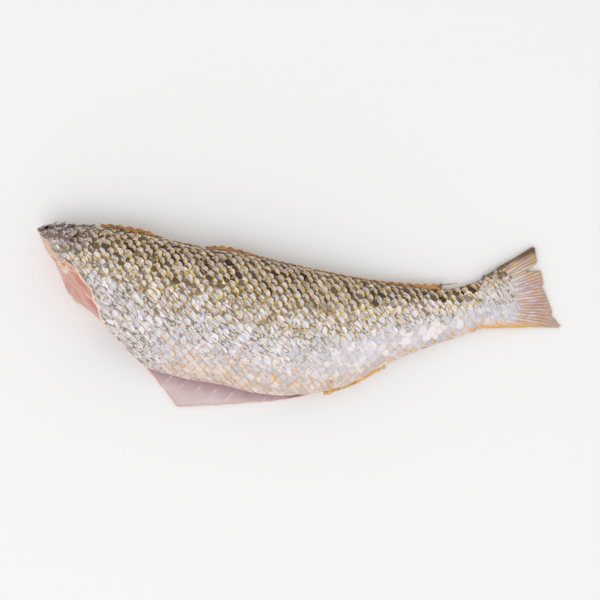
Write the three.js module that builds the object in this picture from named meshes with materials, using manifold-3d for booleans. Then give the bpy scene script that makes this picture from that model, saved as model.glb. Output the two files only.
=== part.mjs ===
// A raw fish, scaled side up: headed, gutted and with its dorsal and anal fins trimmed to stubs.
// It lies on its right side on a flat board. Units are millimetres.
//   X runs from the head cut (-) to the tail (+), Y from the belly (-) to the back (+),
//   and Z is up from the board, which is the plane Z = 0.
import * as THREE from "three";
import { mergeVertices } from "three/addons/utils/BufferGeometryUtils.js";
import Module from "manifold-3d";

const wasm = await Module();
wasm.setup();

// ---- Driving dimensions ----
const NAPE_X = -176; // the trunk is lofted from here, and the head cut trims it
const TAIL_JOINT_X = 120; // where the flesh ends and the tail fin starts
const TAIL_TIP_X = 170; // the rear point of the tail fin's lower lobe
const NODE_GAP = 0.3; // clearance between neighbouring solids
const BACK_SHARE = 0.42; // how far down from the back the trunk is thickest, as a share of its depth
const SIDES = 36; // facets round the trunk
const RINGS = 54; // and along it

// The belly cavity, from the head cut to the vent.
const VENT_X = 13;
const SLIT = 1.2; // gap between the two belly flaps where the upper one's edge lies on the lower
const FLAP_EDGE = 4.2; // thickness of the lower flap at its free edge
const LOWER_WALL = 6.4; // thickness of the lower wall under the backbone
const FLAP_MARGIN = 1; // how much of the flap's blank the cavity trims away
const CAVITY_REACH = 26; // how far the cavity's cutting solid passes outside the belly
const ARCH_SKEW = 0.58; // under 1 moves the cavity's highest point towards the backbone
const ARCH_FULLNESS = 0.9; // under 1 squares the cavity's arch
const SLIT_FLARE = 1.5; // how steeply the cutting solid opens outside the upper flap

// The tail fin's plate.
const FIN_ROOT = { low: 1.0, high: 7.2 };
const FIN_TIP = { low: 0.0, high: 1.3 };

// A smooth function through [x, value] pairs, level beyond its ends.
function through(pairs) {
  const curve = new THREE.CubicInterpolant(
    pairs.map(([x]) => x),
    pairs.map(([, value]) => value),
    1,
  );
  return (x) => curve.evaluate(x)[0];
}

// ---- The trunk's outline, seen from above ----
const backY = through([
  [-176, 53.5], [-157, 57.2], [-127, 56], [-95, 50.6], [-63, 43], [-38, 39.6], [-20, 35.2],
  [1, 30.8], [33, 23.7], [65, 18.6], [88, 16.4], [102, 17.8], [112, 21.4], [121, 26],
]);
const bellyY = through([
  [-176, -14], [-120, -27], [-95, -35.8], [-71, -42.2], [-49, -45.9], [-32, -50.2], [-14, -52.3],
  [15, -49.8], [34, -44.2], [54, -32.6], [72, -25], [95, -16.8], [110, -12], [121, -9.4],
]);
const flapY = through([
  [-90, -60.8], [-78, -59.8], [-37, -57.4], [-14, -55.6], [2, -52.8], [8, -51], [VENT_X + 3, -45],
]);

// ---- Its thickness: heights over the board ----
const backZ = through([
  [-176, 17], [-127, 20], [-80, 22], [-30, 21], [20, 17.5], [60, 13], [90, 8], [120, 4.2],
]);
const bellyZ = through([
  [-176, 9], [-100, 9.5], [-40, 9.5], [0, 10.2], [20, 12], [40, 12], [70, 10], [90, 7.6], [120, 4.2],
]);
const topZ = through([
  [-176, 35], [-127, 41], [-80, 45.5], [-30, 44.5], [20, 36.5], [60, 25.5], [90, 16.4],
  [110, 10.8], [120, 8.2],
]);
const underZ = through([[-176, -1], [-140, -2], [60, -2], [90, -0.6], [120, 0.8]]);
// 1 is a round flank, and more than 1 a flank that sags towards the belly's edge.
const sag = through([[-176, 1.4], [-40, 1.45], [0, 1.3], [30, 1.05], [60, 1], [120, 0.9]]);

// ---- The belly cavity ----
const cavityBackY = through([
  [-176, -1], [-130, -2], [-100, 0], [-60, -2], [-20, -11], [0, -24], [VENT_X, -42],
]);
const cavityHeight = through([
  [-176, 15], [-110, 17], [-80, 24], [-40, 24], [-15, 17], [0, 11], [VENT_X, 2.2],
]);

// ---- The head cut, from the nape to the belly's front corner ----
const cutX = through([
  [-75, -71], [-60, -79.8], [-53, -84.6], [-41, -94.6], [-32, -101.5], [-25, -108], [-6.5, -125.5],
  [2, -135], [10.5, -147.4], [26, -154.6], [38, -160], [50, -166.5], [60, -172],
]);
// How much further back the cut runs at the upper skin than on the board.
const cutLean = through([
  [-40, 1], [-20, 1], [-5, 3], [1, 7], [8, 13], [14, 17], [20, 14], [29, 11], [34, 5], [53, 4],
]);
const LEAN_FROM = 10; // the cut is upright below this height,
const LEAN_HEIGHT = 28; // and leans back by cutLean over this much more
const LEAN_MOST = 1.3; // which carries on above the skin by this factor

// Moves each vertex of a geometry to where place says, keeping its faces.
function reshape(geometry, place) {
  geometry.deleteAttribute("normal");
  geometry.deleteAttribute("uv");
  const position = geometry.attributes.position;
  const vertex = new THREE.Vector3();
  for (let i = 0; i < position.count; i++) {
    vertex.fromBufferAttribute(position, i);
    position.setXYZ(i, ...place(vertex));
  }
  return mergeVertices(geometry, 1e-4);
}

// A block of the given steps whose corners run from (0, 0, 0) to (1, 1, 1) before place moves them.
function block(stepsX, stepsY, stepsZ, place) {
  const unit = new THREE.BoxGeometry(1, 1, 1, stepsX, stepsY, stepsZ).translate(0.5, 0.5, 0.5);
  return reshape(unit, place);
}

const mix = THREE.MathUtils.lerp;

function solidOf(geometry) {
  return new wasm.Manifold(
    new wasm.Mesh({
      numProp: 3,
      vertProperties: new Float32Array(geometry.attributes.position.array),
      triVerts: new Uint32Array(geometry.index.array),
    }),
  );
}

function geometryOf(solid) {
  const { vertProperties, triVerts } = solid.getMesh();
  const geometry = new THREE.BufferGeometry();
  geometry.setAttribute("position", new THREE.BufferAttribute(vertProperties, 3));
  geometry.setIndex(new THREE.BufferAttribute(triVerts, 1));
  geometry.computeVertexNormals();
  return geometry;
}

// ---- The trunk ----

// A point of the trunk's cross-section at x. turn is 0 at the back's ridge and 180 degrees at the belly's.
function trunkPoint(x, turn, reach) {
  const back = backY(x);
  const belly = bellyY(x);
  const widest = mix(back, belly, BACK_SHARE);
  const ridge = (y) => mix(backZ(x), bellyZ(x), (back - y) / (back - belly));
  const across = Math.cos(turn);
  const y = widest + reach * across * (across > 0 ? back - widest : widest - belly);
  const roundness = across > 0 ? 1 : mix(1, sag(x), -across);
  const fullness = reach * Math.abs(Math.sin(turn)) ** roundness;
  const middle = ridge(widest);
  const z =
    Math.sin(turn) > 0
      ? ridge(y) + fullness * (topZ(x) - middle)
      : ridge(y) - fullness * (middle - underZ(x));
  return [x, y, Math.max(z, 0)];
}

function trunkBlank() {
  const tube = new THREE.CylinderGeometry(1, 1, 1, SIDES, RINGS).rotateZ(-Math.PI / 2);
  const placed = reshape(tube, ({ x, y, z }) =>
    trunkPoint(mix(NAPE_X, TAIL_JOINT_X, x + 0.5), Math.atan2(z, y), Math.min(Math.hypot(y, z), 1)),
  );
  return solidOf(placed);
}

// Height of the cavity's floor, which is the inner face of the lower flap.
function floorZ(x, y) {
  const inwards = THREE.MathUtils.smoothstep(y, flapY(x), cavityBackY(x));
  return mix(FLAP_EDGE, LOWER_WALL, inwards);
}

// The lower belly flap: it lies flat on the board and reaches out past the upper one.
function lowerFlapBlank() {
  return solidOf(
    block(30, 6, 1, ({ x, y, z }) => {
      const alongX = mix(NAPE_X, VENT_X + 3, x);
      const acrossY = mix(flapY(alongX), cavityBackY(alongX) + 3, y);
      return [alongX, acrossY, z * (floorZ(alongX, acrossY) + FLAP_MARGIN)];
    }),
  );
}

// The space between the flaps: highest beside the backbone, and a slit at the upper flap's edge.
function cavityGap(x, y) {
  const outwards = (cavityBackY(x) - y) / (cavityBackY(x) - bellyY(x));
  if (outwards > 1) {
    return SLIT + SLIT_FLARE * (bellyY(x) - y);
  }
  const arch = Math.max(Math.sin(Math.PI * outwards ** ARCH_SKEW), 0) ** ARCH_FULLNESS;
  return SLIT + cavityHeight(x) * arch;
}

function cavity() {
  return solidOf(
    block(36, 18, 1, ({ x, y, z }) => {
      const alongX = mix(NAPE_X - 4, VENT_X, x);
      const inner = cavityBackY(alongX);
      const outer = bellyY(alongX) - CAVITY_REACH;
      const acrossY = mix(inner, outer, (1 - y) ** 1.5);
      return [alongX, acrossY, floorZ(alongX, acrossY) + z * cavityGap(alongX, acrossY)];
    }),
  );
}

// Everything in front of the head cut, whose face leans back as it rises.
function headCutter() {
  return solidOf(
    block(1, 48, 10, ({ x, y, z }) => {
      const acrossY = mix(-75, 70, y);
      const height = mix(-8, 60, z);
      const lean = THREE.MathUtils.clamp((height - LEAN_FROM) / LEAN_HEIGHT, 0, LEAN_MOST);
      return [mix(NAPE_X - 50, cutX(acrossY) + lean * cutLean(acrossY), x), acrossY, height];
    }),
  );
}

function trunk() {
  const whole = trunkBlank().add(lowerFlapBlank());
  return geometryOf(whole.subtract(cavity()).subtract(headCutter()));
}

// ---- The trimmed fins ----
const STUB_NOTCH = 0.6; // height of a stub between two rays, as a share of its height at a ray

// A low ridge of cut fin rays from x = from to x = to. base gives its foot and height how far it stands out,
// and side is +1 on the back and -1 on the belly.
function finStub({ from, to, side, base, baseZ, height, rays, foot, crest }) {
  return block(rays * 2, 1, 1, ({ x, y, z }) => {
    const alongX = mix(from, to, x);
    const cutRay = mix(1, STUB_NOTCH, 0.5 - 0.5 * Math.cos(2 * Math.PI * rays * x));
    const out = NODE_GAP + y * height(alongX) * cutRay;
    const half = mix(foot, crest, y) / 2;
    const lift = side > 0 ? mix(-half, half, z) : mix(half, -half, z);
    return [alongX, base(alongX) + side * out, baseZ(alongX) + lift];
  });
}

const spinyStub = finStub({
  from: -127, to: -64, side: 1, base: backY, baseZ: backZ, rays: 10, foot: 4, crest: 2,
  height: through([[-127, 2.4], [-115, 3], [-97, 2.8], [-91, 1], [-64, 0.9]]),
});

const SOFT_STUB_END = 91.5;
const softStub = finStub({
  from: -60, to: SOFT_STUB_END, side: 1, base: backY, baseZ: backZ, rays: 28, foot: 3, crest: 1.4,
  height: through([[-60, 1.2], [-50, 3], [-38, 2], [-24, 1], [30, 0.9], [62, 2], [84, 3.6], [91.5, 4]]),
});

// One ray of the soft dorsal fin that the trimming missed, lying back over the tail's root.
const MISSED_RAY = { from: SOFT_STUB_END - 7, length: 17, footY: 18.6, tipY: 20.4, foot: 0.9, tip: 0.5 };

function missedRay() {
  const { from, length, footY, tipY, foot, tip } = MISSED_RAY;
  return block(3, 1, 1, ({ x, y, z }) => {
    const thick = mix(foot, tip, x);
    return [from + length * x, mix(footY, tipY, x) + (y - 0.5) * thick, backZ(from) + (z - 0.5) * thick];
  });
}

const analStub = finStub({
  from: 15, to: 55, side: -1, base: bellyY, baseZ: bellyZ, rays: 9, foot: 3.4, crest: 1.6,
  height: through([[15, 1.4], [18, 2.4], [22, 1.2], [42, 1.4], [50, 1.8], [55, 2.2]]),
});

// ---- The tail fin: a thin fan with three splits between its rays ----
function tailFin() {
  const fan = new THREE.Shape();
  fan.moveTo(TAIL_JOINT_X + NODE_GAP, -8.8);
  fan.lineTo(132, -8.5);
  fan.lineTo(155, -8.2);
  fan.lineTo(168, -8.5);
  fan.lineTo(TAIL_TIP_X, -7.6);
  fan.lineTo(165.2, -2);
  fan.lineTo(162.8, -0.6); // the lowest split
  fan.lineTo(164.4, 0.9);
  fan.quadraticCurveTo(162, 8, 158.2, 17.1);
  fan.lineTo(155.6, 18); // the middle split
  fan.lineTo(158.2, 19.3);
  fan.quadraticCurveTo(157.9, 24, 156.4, 28.9);
  fan.lineTo(147.8, 27.9); // the top split
  fan.lineTo(147, 29.1);
  fan.lineTo(154.2, 33.6);
  fan.lineTo(152.6, 43.6);
  fan.lineTo(151, 44.3);
  fan.lineTo(139, 36.8);
  fan.lineTo(129, 31.2);
  fan.lineTo(TAIL_JOINT_X + NODE_GAP, 25.2);
  const plate = new THREE.ExtrudeGeometry(fan, { depth: 1, bevelEnabled: false, curveSegments: 6 });
  return reshape(plate, ({ x, y, z }) => {
    const outwards = (x - TAIL_JOINT_X) / (TAIL_TIP_X - TAIL_JOINT_X);
    const low = mix(FIN_ROOT.low, FIN_TIP.low, outwards);
    const high = mix(FIN_ROOT.high, FIN_TIP.high, outwards);
    return [x, y, mix(low, high, z)];
  });
}

// ---- The assembly ----
const skin = new THREE.MeshStandardMaterial({ color: 0xa59f96, roughness: 0.35, metalness: 0.15 });
const finWeb = new THREE.MeshStandardMaterial({ color: 0xb99a74, roughness: 0.45, metalness: 0 });
const cutFin = new THREE.MeshStandardMaterial({ color: 0xb4813f, roughness: 0.5, metalness: 0 });

const fish = new THREE.Group();

function addPiece(name, geometry, material) {
  const mesh = new THREE.Mesh(geometry, material);
  mesh.name = name;
  fish.add(mesh);
}

addPiece("body", trunk(), skin);
addPiece("tail_fin", tailFin(), finWeb);
addPiece("spiny_dorsal_fin_stub", spinyStub, cutFin);
addPiece("soft_dorsal_fin_stub", geometryOf(solidOf(softStub).add(solidOf(missedRay()))), cutFin);
addPiece("anal_fin_stub", analStub, cutFin);

export default fish;
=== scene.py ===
"""A raw fish, headed and gutted, lying on its side: the looks that go round its CAD frame.

The trunk is one mesh of skin, cut flesh and belly lining. Separate scales are laid over the skin row by row,
and the tail fin and the trimmed fins are made ray by ray.
"""

import math
import random

import bmesh
import bpy
from bpy.props import FloatProperty, FloatVectorProperty, IntProperty, PointerProperty
from mathutils import Matrix, Vector, noise
from mathutils.bvhtree import BVHTree
from mathutils.kdtree import KDTree


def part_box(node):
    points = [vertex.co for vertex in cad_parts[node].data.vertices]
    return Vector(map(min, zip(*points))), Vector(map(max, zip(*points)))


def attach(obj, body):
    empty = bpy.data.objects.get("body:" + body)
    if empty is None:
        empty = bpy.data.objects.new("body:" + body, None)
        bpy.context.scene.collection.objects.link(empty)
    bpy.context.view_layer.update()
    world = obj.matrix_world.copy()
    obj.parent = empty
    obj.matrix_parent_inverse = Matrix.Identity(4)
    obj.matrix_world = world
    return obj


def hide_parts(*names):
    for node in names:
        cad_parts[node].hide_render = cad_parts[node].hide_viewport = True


bl_info = {
    "name": "Raw Fish",
    "version": (1, 0, 0),
    "blender": (4, 5, 0),
    "location": "3D View > Sidebar > Raw Fish",
    "description": "Skins, scales and fins for a headed and gutted fish",
    "category": "Add Mesh",
}

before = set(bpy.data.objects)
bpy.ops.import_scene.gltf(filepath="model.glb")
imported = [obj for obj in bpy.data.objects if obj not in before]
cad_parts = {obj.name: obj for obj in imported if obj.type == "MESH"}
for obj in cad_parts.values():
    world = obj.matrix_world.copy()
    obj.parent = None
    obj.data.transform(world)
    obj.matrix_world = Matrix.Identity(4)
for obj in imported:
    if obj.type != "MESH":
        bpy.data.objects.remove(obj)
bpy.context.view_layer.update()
BODY = "root"
MM = 0.001
UP = Vector((0, 0, 1))


def srgb(red, green, blue):
    """A colour given in screen values, 0 to 255, as the linear RGBA that Blender keeps."""

    def linear(value):
        share = value / 255
        return share / 12.92 if share <= 0.04045 else ((share + 0.055) / 1.055) ** 2.4

    return (linear(red), linear(green), linear(blue), 1.0)


def clamp(value, low=0.0, high=1.0):
    """The value, kept between low and high."""
    return max(low, min(high, value))


def ease(low, high, value):
    """0 below low, 1 above high and a smooth rise between them. With low above high it falls instead."""
    share = clamp((value - low) / (high - low))
    return share * share * (3 - 2 * share)


def mix(a, b, share):
    """A number that share of the way from a to b."""
    return a + (b - a) * share


def colour(name, description, red, green, blue):
    """A colour setting, given in screen values."""
    return FloatVectorProperty(
        name=name, description=description, subtype="COLOR", size=4, min=0, max=1,
        default=srgb(red, green, blue),
    )


def length(name, description, default):
    """A length setting, in metres."""
    return FloatProperty(
        name=name, description=description, subtype="DISTANCE", unit="LENGTH", min=0, precision=4,
        default=default,
    )


# ---------------------------------------------------------------- settings


class FishTrunkSettings(bpy.types.PropertyGroup):
    """Sizes and colours of the trunk's skin, flesh and belly."""

    voxel: length("Mesh size", "Size of the trunk's faces", 1.0 * MM)
    sink: length("Skin depth", "How far the skin lies under the tips of its scales", 0.35 * MM)
    rib_spacing: length("Rib spacing", "Distance between two ribs inside the belly", 9.2 * MM)
    backbone: length("Backbone", "Diameter of the backbone where the head was cut off", 8 * MM)
    back: colour("Back", "Skin between the scales of the back", 62, 46, 24)
    flank: colour("Flank", "Skin between the scales of the flank", 190, 182, 176)
    belly: colour("Belly", "Bare skin along the belly", 222, 208, 196)
    bare: colour("Bare skin", "Skin without scales behind the head", 222, 190, 172)
    vent: colour("Vent", "Ring round the vent", 210, 148, 142)
    flesh: colour("Flesh", "Cut muscle", 212, 156, 138)
    flesh_deep: colour("Deep flesh", "Darker cut muscle", 198, 128, 112)
    tendon: colour("Tendon", "Sheets between the muscles, and the skin's white layer", 232, 214, 198)
    bone: colour("Bone", "Cut backbone", 226, 206, 184)
    fat: colour("Fat", "Fat and sinew behind the head", 244, 220, 176)
    lining: colour("Belly lining", "Membrane inside the belly", 208, 186, 186)
    # Painted shade: the lining's darker colour deep in the belly, at the slit's end and under the upper
    # flap's edge.
    lining_shade: colour("Belly lining, inner", "Membrane deep inside the belly", 150, 92, 108)
    rib: colour("Ribs", "Ribs showing through the belly lining", 228, 208, 204)
    # The blood colour also paints the deepest shade of the belly lining.
    blood: colour("Blood line", "Dark line under the backbone", 96, 28, 30)
    cut_rim: colour("Cut rim", "Edge of the lower belly flap's skin", 200, 128, 84)


class FishScaleSettings(bpy.types.PropertyGroup):
    """Sizes and colours of the scales."""

    pitch: length("Pitch", "Distance between two scales of a row", 5.4 * MM)
    row: length("Row height", "Distance between two rows", 4.3 * MM)
    overlap: FloatProperty(
        name="Overlap", description="Length of a scale in pitches", default=1.75, min=1
    )
    breadth: FloatProperty(
        name="Breadth", description="Width of a scale in row heights", default=1.75, min=1
    )
    thickness: length("Thickness", "Thickness of a scale", 0.22 * MM)
    lift: length("Lift", "Height of a scale's free edge over the skin", 0.82 * MM)
    seed: IntProperty(name="Seed", description="Changes how the scales vary", default=7)
    back: colour("Back", "Scales of the back", 208, 184, 164)
    upper: colour("Upper flank", "Scales above the middle of the flank", 236, 220, 202)
    middle: colour("Flank", "Scales along the middle of the flank", 236, 226, 220)
    lower: colour("Lower flank", "Scales below the middle of the flank", 231, 224, 225)
    belly: colour("Belly", "Scales of the belly", 208, 201, 202)
    stroke: colour("Strokes", "Dull strokes over the scales of the flank", 142, 116, 66)
    dark_stroke: colour("Dark strokes", "Thin dark strokes over the flank", 112, 82, 36)
    # The spot colour is dark pigment and also paints the shadow under a neighbouring scale's free edge.
    spot: colour("Spot", "Dark spot at a scale's foot", 26, 14, 1)
    olive: colour("Halo", "Halo round a scale's dark spot", 146, 114, 40)
    gold: colour("Rim", "Rim of the scales on the back and flank", 226, 188, 76)
    net: colour("Belly rim", "Rim of the scales on the belly", 240, 172, 44)
    warm: colour("Lower edge", "Scales along the tail's lower edge", 238, 178, 92)
    nape: colour("Nape", "Small scales behind the head", 212, 188, 186)
    # Painted highlight: a cool glint colour painted into single scales.
    painted_glint: colour("Glint", "Cool glints on single scales", 218, 226, 246)


class FishFinSettings(bpy.types.PropertyGroup):
    """Sizes and colours of the fins."""

    rays: IntProperty(name="Tail rays", description="Rays in the tail fin", default=17, min=3)
    voxel: length("Mesh size", "Size of the fins' faces", 0.38 * MM)
    web: length("Web", "How far the web is sunk between two rays", 0.28 * MM)
    ray: length("Ray", "How far a ray stands out", 0.2 * MM)
    tan: colour("Web", "Web of the tail fin", 216, 186, 158)
    olive_web: colour("Upper web", "Web of the tail fin's upper lobe", 216, 188, 146)
    line: colour("Lower rays", "Rays of the tail fin's lower lobe", 172, 126, 104)
    olive: colour("Rays", "Rays of the tail fin", 158, 124, 58)
    mauve: colour("Middle", "Middle of the tail fin", 204, 170, 180)
    silver: colour("Root", "Root of the tail fin", 220, 220, 226)
    orange: colour("Lower edge", "Lower edge of the tail fin", 226, 172, 98)
    brown: colour("Upper edge", "Upper edge of the tail fin", 106, 74, 48)
    stub: colour("Stubs", "Trimmed fins", 188, 130, 70)
    stub_dark: colour("Stubs, dark", "Dark spots on the trimmed fins", 124, 82, 42)
    stub_core: colour("Cut rays", "Cut ends of fin rays", 226, 196, 150)
    anal: colour("Anal fin", "Stub of the anal fin", 236, 186, 104)


class FishStageSettings(bpy.types.PropertyGroup):
    """The floor, the lights and the camera."""

    floor: colour("Floor", "Colour of the floor", 244, 244, 244)
    sky: FloatProperty(name="Sky", description="Strength of the light from all round", default=0.81, min=0)
    key: FloatProperty(
        name="Key light", description="Power of the large light overhead", unit="POWER", default=13, min=0
    )
    lens: FloatProperty(name="Lens", description="Focal length in millimetres", default=85, min=10)
    field: length("Field", "Width of the view at the fish's mid height", 384 * MM)
    ahead: length("Offset", "How far the view's centre lies towards the fish's back", 9.6 * MM)


class FishSettings(bpy.types.PropertyGroup):
    """All settings of the fish."""

    trunk: PointerProperty(type=FishTrunkSettings)
    scales: PointerProperty(type=FishScaleSettings)
    fins: PointerProperty(type=FishFinSettings)
    stage: PointerProperty(type=FishStageSettings)


# ---------------------------------------------------------------- meshes


def add_object(name, data):
    """A new object of the scene, at the origin."""
    made = bpy.data.objects.new(name, data)
    bpy.context.scene.collection.objects.link(made)
    return made


def merged_copy(node):
    """A bmesh of a CAD node with its loose triangles joined."""
    bm = bmesh.new()
    bm.from_mesh(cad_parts[node].data)
    bmesh.ops.remove_doubles(bm, verts=bm.verts, dist=1e-6)
    bm.verts.ensure_lookup_table()
    bm.faces.ensure_lookup_table()
    return bm


def remeshed(node, voxel):
    """A bmesh of a CAD node made of even, small faces."""
    bm = merged_copy(node)
    rough = bpy.data.meshes.new("rough")
    bm.to_mesh(rough)
    bm.free()
    piece = add_object("rough", rough)
    even = piece.modifiers.new("even", "REMESH")
    even.mode = "VOXEL"
    even.voxel_size = voxel
    fine = bpy.data.meshes.new_from_object(piece.evaluated_get(bpy.context.evaluated_depsgraph_get()))
    bm = bmesh.new()
    bm.from_mesh(fine)
    bpy.data.objects.remove(piece)
    bpy.data.meshes.remove(rough)
    bpy.data.meshes.remove(fine)
    return bm


def smoothed(bm, verts, rounds, factor=0.5):
    """Moves the vertices that share of the way to the middle of their neighbours, some rounds over."""
    for _ in range(rounds):
        bmesh.ops.smooth_vert(
            bm, verts=verts, factor=factor, use_axis_x=True, use_axis_y=True, use_axis_z=True
        )


def finish_piece(bm, name, material, slot, *nodes):
    """Makes the bmesh an object of the fish that rides on its body and stands for the CAD nodes."""
    mesh = bpy.data.meshes.new(name)
    bm.to_mesh(mesh)
    bm.free()
    mesh.materials.append(material)
    piece = add_object(name, mesh)
    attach(piece, BODY)
    if nodes:
        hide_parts(*nodes)


def smooth_faces(bm):
    """Shades every face smooth."""
    for face in bm.faces:
        face.smooth = True


CREASE = math.radians(32)  # a cut edge is sharper than this
THICK = 6 * MM  # the trunk's top lies higher than this inside its outline
ABOVE = 200 * MM  # well clear of the fish
SKIN, FLESH, LINING = range(3)


def patches(bm):
    """The surface's patches between its sharp edges, each a list of faces, the largest first."""
    waiting = set(bm.faces)
    found = []
    while waiting:
        patch = [waiting.pop()]
        for face in patch:
            for edge in face.edges:
                if edge.calc_face_angle(0) < CREASE:
                    near = [f for f in edge.link_faces if f in waiting]
                    waiting.difference_update(near)
                    patch.extend(near)
        found.append(patch)
    return sorted(found, key=lambda patch: -sum(face.calc_area() for face in patch))


class CutTrunk:
    """The CAD trunk's surface, whose sharp edges part the skin from the cut flesh and the belly lining."""

    RIM_STEP = 0.8 * MM

    def __init__(self):
        bm = merged_copy("body")
        self.kind = [LINING] * len(bm.faces)
        for rank, patch in enumerate(patches(bm)):
            facing = sum((face.normal * face.calc_area() for face in patch), Vector()).normalized()
            kind = LINING
            if rank == 0:
                kind = SKIN
            elif facing.x < -0.6 or facing.y < -0.9 or facing.x > 0.9:
                kind = FLESH
            for face in patch:
                self.kind[face.index] = kind
        self.tree = BVHTree.FromBMesh(bm)
        points = []
        for edge in bm.edges:
            kinds = {self.kind[face.index] for face in edge.link_faces}
            if len(kinds) > 1 and SKIN in kinds:
                a, b = (vert.co for vert in edge.verts)
                steps = 1 + int((b - a).length / self.RIM_STEP)
                points.extend(a.lerp(b, step / steps) for step in range(steps + 1))
        bm.free()
        self.rim = KDTree(len(points))
        for index, point in enumerate(points):
            self.rim.insert(point, index)
        self.rim.balance()

    def kind_at(self, point):
        """SKIN, FLESH or LINING, whichever the CAD surface is at the point."""
        return self.kind[self.tree.find_nearest(point)[2]]

    def rim_distance(self, point):
        """How far the point is from the skin's cut edge."""
        return self.rim.find(point)[2]


class Outline:
    """Where the back and the belly lie along the fish, seen from above."""

    STEP = 4 * MM

    def __init__(self, tree):
        low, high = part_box("body")
        self.start = low.x + self.STEP
        self.rows = []
        for station in range(int((high.x - self.start) / self.STEP) + 1):
            x = self.start + station * self.STEP
            across = [y * MM for y in range(math.floor(low.y / MM), math.ceil(high.y / MM))]
            tops = [tree.ray_cast(Vector((x, y, ABOVE)), -UP)[0] for y in across]
            thick = [y for y, top in zip(across, tops) if top and top.z > THICK]
            self.rows.append((max(thick), min(thick)) if thick else self.rows[-1])

    def edges(self, x):
        """(the back's y, the belly's y) at x."""
        place = clamp((x - self.start) / self.STEP, 0, len(self.rows) - 1.001)
        index = int(place)
        (back_a, belly_a), (back_b, belly_b) = self.rows[index], self.rows[index + 1]
        return mix(back_a, back_b, place - index), mix(belly_a, belly_b, place - index)

    def share(self, point):
        """0 at the back and 1 at the belly."""
        back, belly = self.edges(point.x)
        return clamp((back - point.y) / (back - belly))


# ---------------------------------------------------------------- shader helpers


def add_node(tree, kind, inputs=None, **settings):
    """A new node. An input takes a socket to link or a value to hold."""
    made = tree.nodes.new(kind)
    for name, value in settings.items():
        setattr(made, name, value)
    for key, value in (inputs or {}).items():
        if isinstance(value, bpy.types.NodeSocket):
            tree.links.new(value, made.inputs[key])
        else:
            made.inputs[key].default_value = value
    return made


def calc(tree, operation, a, b=0.0, c=0.0):
    """A Math node's number."""
    return add_node(tree, "ShaderNodeMath", {0: a, 1: b, 2: c}, operation=operation).outputs[0]


def times(tree, first, *others):
    """The product of numbers."""
    for other in others:
        first = calc(tree, "MULTIPLY", first, other)
    return first


def vector_calc(tree, operation, *values):
    """A Vector Math node's outputs, Vector and Value."""
    made = add_node(tree, "ShaderNodeVectorMath", dict(enumerate(values)), operation=operation)
    return made.outputs


def smooth_step(tree, value, low, high):
    """0 below low and 1 above high, or the other way round if low is above high."""
    inputs = {"Value": value, "From Min": low, "From Max": high}
    return add_node(tree, "ShaderNodeMapRange", inputs, interpolation_type="SMOOTHSTEP").outputs[0]


def blend(tree, share, a, b, blend_type="MIX"):
    """Colour a with that share of colour b over it."""
    made = add_node(
        tree, "ShaderNodeMix", {"Factor": share, 6: a, 7: b}, data_type="RGBA", blend_type=blend_type
    )
    return made.outputs[2]


def ramp(tree, share, stops):
    """A colour ramp through (place, colour) stops."""
    made = add_node(tree, "ShaderNodeValToRGB", {0: share})
    elements = made.color_ramp.elements
    while len(elements) < len(stops):
        elements.new(1)
    for element, (place, tint) in zip(elements, stops):
        element.position = place
        element.color = tint
    return made.outputs[0]


def curve(tree, share, points):
    """A grey ramp through (place, value) points, as a number."""
    return ramp(tree, share, [(place, (value, value, value, 1)) for place, value in points])


def attribute(tree, name):
    """A number that the mesh keeps for each of its vertices."""
    return add_node(tree, "ShaderNodeAttribute", attribute_name=name).outputs["Fac"]


def object_place(tree, stretch=1.0, turn=0.0):
    """Object coordinates. A texture on them is stretched along X turned about Z by that angle."""
    place = add_node(tree, "ShaderNodeTexCoord").outputs["Object"]
    inputs = {"Vector": place, "Scale": (stretch, 1, 1), "Rotation": (0, 0, turn)}
    return add_node(tree, "ShaderNodeMapping", inputs, vector_type="TEXTURE").outputs[0]


def cloud(tree, place, scale, detail=3.0):
    """Cloudy noise about 0.5, with that many clouds to a metre."""
    inputs = {"Vector": place, "Scale": scale, "Detail": detail, "Roughness": 0.6}
    return add_node(tree, "ShaderNodeTexNoise", inputs).outputs["Fac"]


def grain_group():
    """Wet grain: a shared group of fine mottling. Amount scales how far Shade strays from 1."""
    name = "Wet Grain"
    if name in bpy.data.node_groups:
        return bpy.data.node_groups[name]
    group = bpy.data.node_groups.new(name, "ShaderNodeTree")
    for socket, default in (("Coarse", 120), ("Fine", 900), ("Amount", 0.1)):
        made = group.interface.new_socket(socket, in_out="INPUT", socket_type="NodeSocketFloat")
        made.default_value = default
    for socket in ("Shade", "Height", "Gloss"):
        group.interface.new_socket(socket, in_out="OUTPUT", socket_type="NodeSocketFloat")
    inside = add_node(group, "NodeGroupInput").outputs
    place = object_place(group)
    coarse = cloud(group, place, inside["Coarse"])
    fine = cloud(group, place, inside["Fine"], 2.0)
    both = calc(group, "ADD", times(group, coarse, 0.5), times(group, fine, 0.5))
    stray = times(group, calc(group, "SUBTRACT", both, 0.5), 4.0)
    shade = calc(group, "MULTIPLY_ADD", stray, inside["Amount"], 1.0)
    outputs = {"Shade": shade, "Height": both, "Gloss": smooth_step(group, coarse, 0.35, 0.65)}
    add_node(group, "NodeGroupOutput", outputs)
    return group


def grain(tree, coarse, fine, amount):
    """Wet grain's outputs, Shade, Height and Gloss, with a material's own values."""
    inputs = {"Coarse": coarse, "Fine": fine, "Amount": amount}
    return add_node(tree, "ShaderNodeGroup", node_tree=grain_group(), inputs=inputs).outputs


def shaded(tree, tint, shade):
    """A colour times a number."""
    grey = add_node(tree, "ShaderNodeCombineColor", {0: shade, 1: shade, 2: shade}).outputs[0]
    return blend(tree, 1.0, tint, grey, "MULTIPLY")


def new_material(name):
    """(material, its node tree, its Principled shader)."""
    material = bpy.data.materials.new(name)
    material.use_nodes = True
    tree = material.node_tree
    return material, tree, tree.nodes["Principled BSDF"]


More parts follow.
